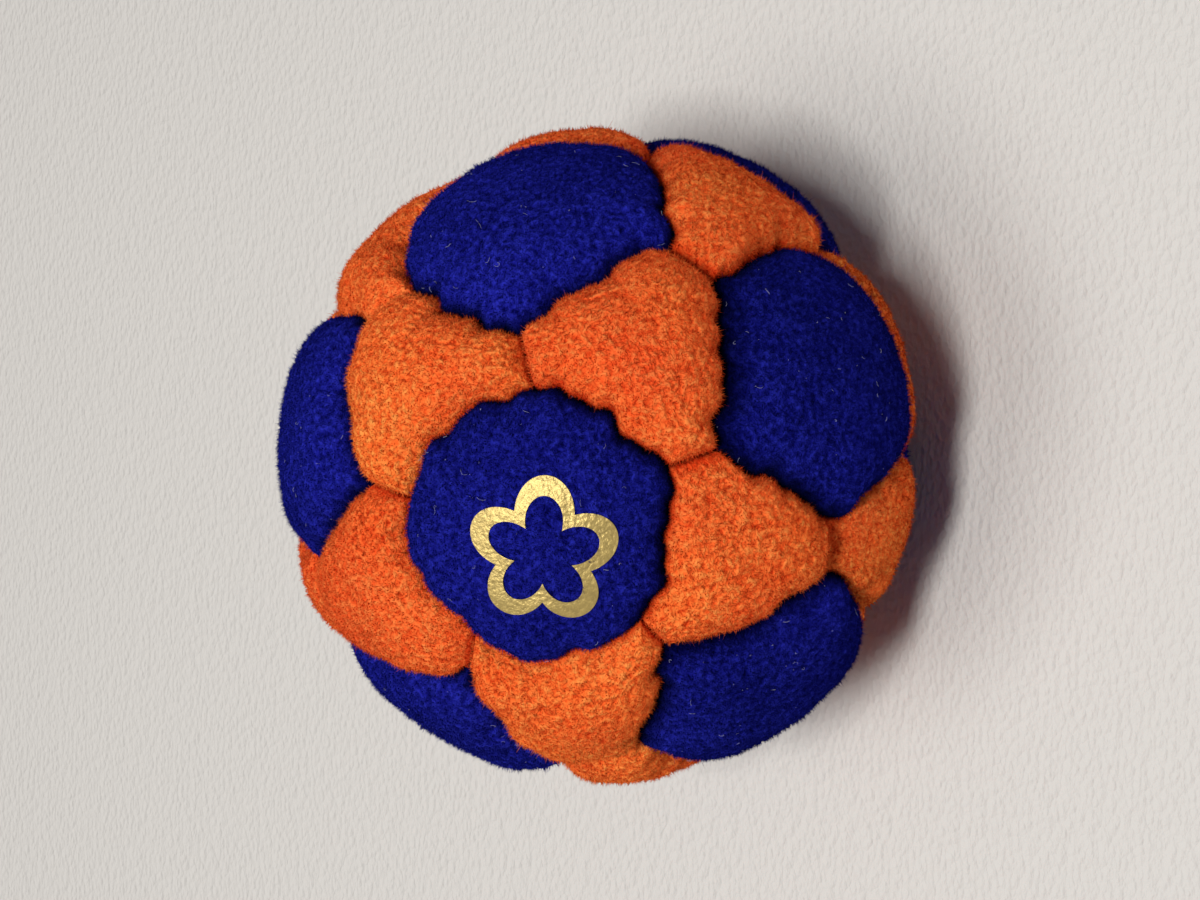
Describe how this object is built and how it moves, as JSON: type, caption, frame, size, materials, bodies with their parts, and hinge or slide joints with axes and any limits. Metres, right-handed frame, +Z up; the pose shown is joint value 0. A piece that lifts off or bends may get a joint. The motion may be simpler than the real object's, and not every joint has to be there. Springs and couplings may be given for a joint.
{
  "type": "footbag",
  "caption": "Small round footbag of blue pentagonal and orange hexagonal suede panels, sewn round loose pellets, with a plain gold foil flower on one panel.",
  "frame": {"origin": "centre of the bounding box's underside, on the surface that the bag rests on", "axes": "+Z up; -Y towards the near side, where the foil mark faces up and forward; +X to the viewer's right"},
  "size_m": [0.0556, 0.0558, 0.0521],
  "materials": {
    "blue_suede": "short-napped synthetic suede, royal blue",
    "orange_suede": "short-napped synthetic suede, orange",
    "thread": "waxed sewing thread, dark red",
    "pellets": "loose plastic pellets",
    "gold_foil": "crinkled gold foil print"
  },
  "bodies": {
    "root": {"blue_panel_01": "blue_suede", "blue_panel_02": "blue_suede", "blue_panel_03": "blue_suede", "blue_panel_04": "blue_suede", "blue_panel_05": "blue_suede", "blue_panel_06": "blue_suede", "blue_panel_07": "blue_suede", "blue_panel_08": "blue_suede", "blue_panel_09": "blue_suede", "blue_panel_10": "blue_suede", "blue_panel_11": "blue_suede", "blue_panel_12": "blue_suede", "orange_panel_01": "orange_suede", "orange_panel_02": "orange_suede", "orange_panel_03": "orange_suede", "orange_panel_04": "orange_suede", "orange_panel_05": "orange_suede", "orange_panel_06": "orange_suede", "orange_panel_07": "orange_suede", "orange_panel_08": "orange_suede", "orange_panel_09": "orange_suede", "orange_panel_10": "orange_suede", "orange_panel_11": "orange_suede", "orange_panel_12": "orange_suede", "orange_panel_13": "orange_suede", "orange_panel_14": "orange_suede", "orange_panel_15": "orange_suede", "orange_panel_16": "orange_suede", "orange_panel_17": "orange_suede", "orange_panel_18": "orange_suede", "orange_panel_19": "orange_suede", "orange_panel_20": "orange_suede", "seam_thread_01": "thread", "seam_thread_02": "thread", "seam_thread_03": "thread", "seam_thread_04": "thread", "seam_thread_05": "thread", "seam_thread_06": "thread", "seam_thread_07": "thread", "seam_thread_08": "thread", "seam_thread_09": "thread", "seam_thread_10": "thread", "seam_thread_11": "thread", "seam_thread_12": "thread", "pellet_fill": "pellets", "foil_mark": "gold_foil"}
  },
  "joints": []
}
